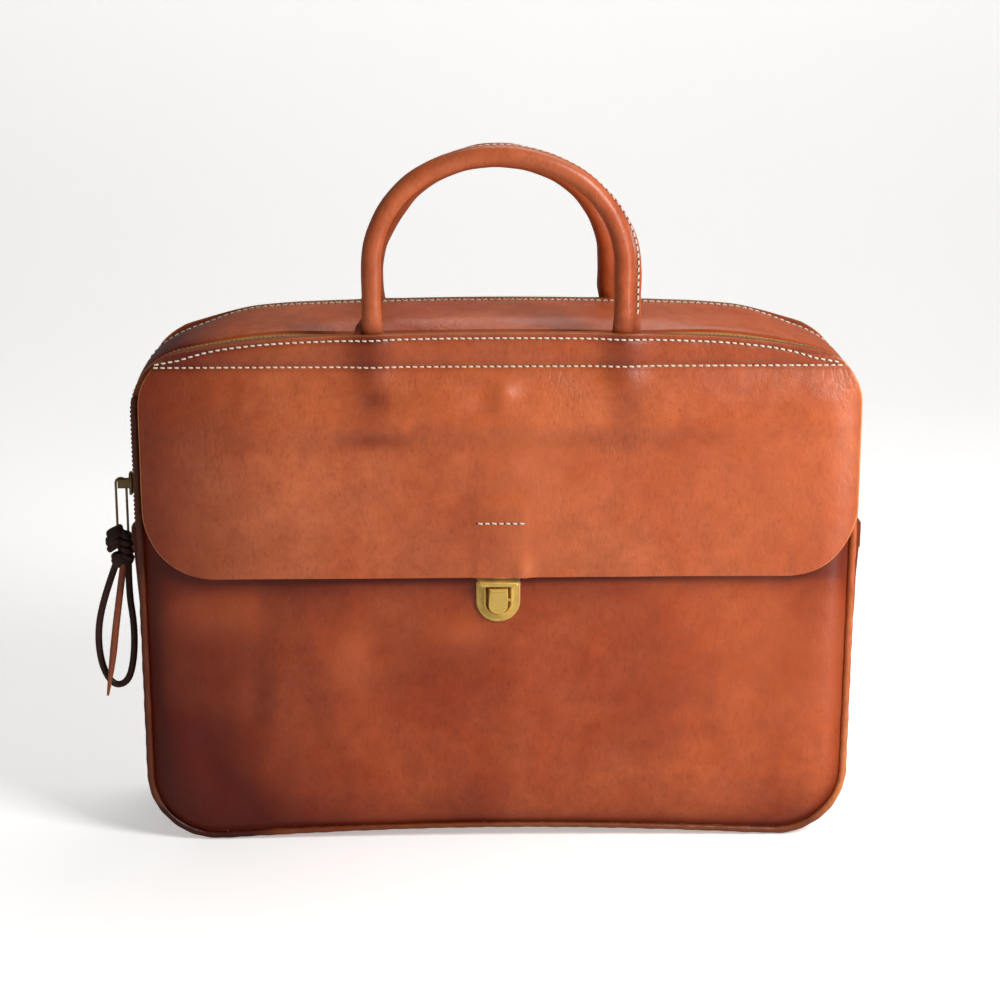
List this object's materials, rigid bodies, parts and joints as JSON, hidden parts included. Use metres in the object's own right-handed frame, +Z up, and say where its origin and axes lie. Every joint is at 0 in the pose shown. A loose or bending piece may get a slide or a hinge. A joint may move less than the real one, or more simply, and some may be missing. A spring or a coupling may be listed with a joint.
{
  "type": "leather briefcase",
  "caption": "Smooth tan leather briefcase with an arched top, rolled handles, a rounded front flap over a piped pocket, a brass press lock and zips with leather thong pulls.",
  "frame": {"origin": "middle of the underside, where the bag rests", "axes": "+Z up, the flap and lock face -Y, +X along the bag's width"},
  "size_m": [0.4537, 0.108, 0.407],
  "materials": {
    "leather": "smooth vegetable-tanned, semi-gloss",
    "thong_leather": "dark brown, waxed",
    "brass": "antique, worn",
    "zip_tape": "woven tape",
    "thread": "waxed cream thread",
    "lining": "cotton twill",
    "core_cord": "cotton cord",
    "board": "pressed fibre board"
  },
  "bodies": {
    "bag": {"back_handle_rivets": "brass", "back_handle_tabs": "leather", "back_panel": "leather", "back_piping": "leather", "back_stiffener": "board", "back_yoke": "leather", "base_board": "board", "centre_divider": "leather", "flap_yoke": "leather", "front_handle_rivets": "brass", "front_handle_tabs": "leather", "front_panel": "leather", "front_piping": "leather", "front_stiffener": "board", "front_zip_end_clips": "brass", "front_zip_facing": "leather", "front_zip_tape_inner": "zip_tape", "front_zip_tape_outer": "zip_tape", "front_zip_teeth_inner": "brass", "front_zip_teeth_outer": "brass", "gusset_bottom": "leather", "gusset_left": "leather", "gusset_right": "leather", "lining_back": "lining", "lining_front": "lining", "lock_bezel": "brass", "lock_housing": "brass", "lock_plate": "brass", "lock_spring": "brass", "pocket_panel": "leather", "rear_zip_end_clips": "brass", "rear_zip_facing": "leather", "rear_zip_tape_inner": "zip_tape", "rear_zip_tape_outer": "zip_tape", "rear_zip_teeth_inner": "brass", "rear_zip_teeth_outer": "brass", "top_strip": "leather"},
    "flap": {"flap": "leather", "lock_tab": "leather", "hasp": "brass", "hasp_rivets": "brass"},
    "lock_button": {"lock_button": "brass", "lock_catch": "brass"},
    "front_handle": {"front_handle_wrap": "leather", "front_handle_core": "core_cord"},
    "back_handle": {"back_handle_wrap": "leather", "back_handle_core": "core_cord"},
    "front_slider": {"front_slider": "brass"},
    "front_pull": {"front_pull_ring": "brass", "front_thong_knot": "thong_leather", "front_thong_loop": "thong_leather", "front_thong_tail": "thong_leather"},
    "rear_slider": {"rear_slider": "brass"},
    "rear_pull": {"rear_pull_ring": "brass", "rear_thong_knot": "thong_leather", "rear_thong_loop": "thong_leather", "rear_thong_tail": "thong_leather"}
  },
  "joints": [
    {"name": "flap_hinge", "type": "hinge", "parent": "bag", "child": "flap", "pos_m": [0, -0.0454, 0.2811], "axis": [-1, 0, 0], "range_deg": [0, 95]},
    {"name": "lock_button_press", "type": "slide", "parent": "bag", "child": "lock_button", "axis": [0, 1, 0], "range_m": [0, 0.0015], "stiffness_N_per_m": 400, "deforming": ["lock_spring"]},
    {"name": "front_handle_tilt", "type": "hinge", "parent": "bag", "child": "front_handle", "pos_m": [0, -0.0443, 0.3075], "axis": [1, 0, 0], "range_deg": [-15, 70], "stiffness_Nm_per_rad": 0.5},
    {"name": "back_handle_tilt", "type": "hinge", "parent": "bag", "child": "back_handle", "pos_m": [0, 0.0443, 0.3075], "axis": [-1, 0, 0], "range_deg": [0, 93], "stiffness_Nm_per_rad": 0.5},
    {"name": "front_slider_travel", "type": "slide", "parent": "bag", "child": "front_slider", "axis": [0, 0, 1], "range_m": [0, 0.028]},
    {"name": "front_pull_swing", "type": "hinge", "parent": "front_slider", "child": "front_pull", "pos_m": [-0.215, -0.027, 0.212], "axis": [0, 1, 0], "range_deg": [0, 90]},
    {"name": "rear_slider_travel", "type": "slide", "parent": "bag", "child": "rear_slider", "axis": [0, 0, 1], "range_m": [0, 0.028]},
    {"name": "rear_pull_swing", "type": "hinge", "parent": "rear_slider", "child": "rear_pull", "pos_m": [0.215, 0.034, 0.212], "axis": [0, -1, 0], "range_deg": [0, 90]}
  ]
}
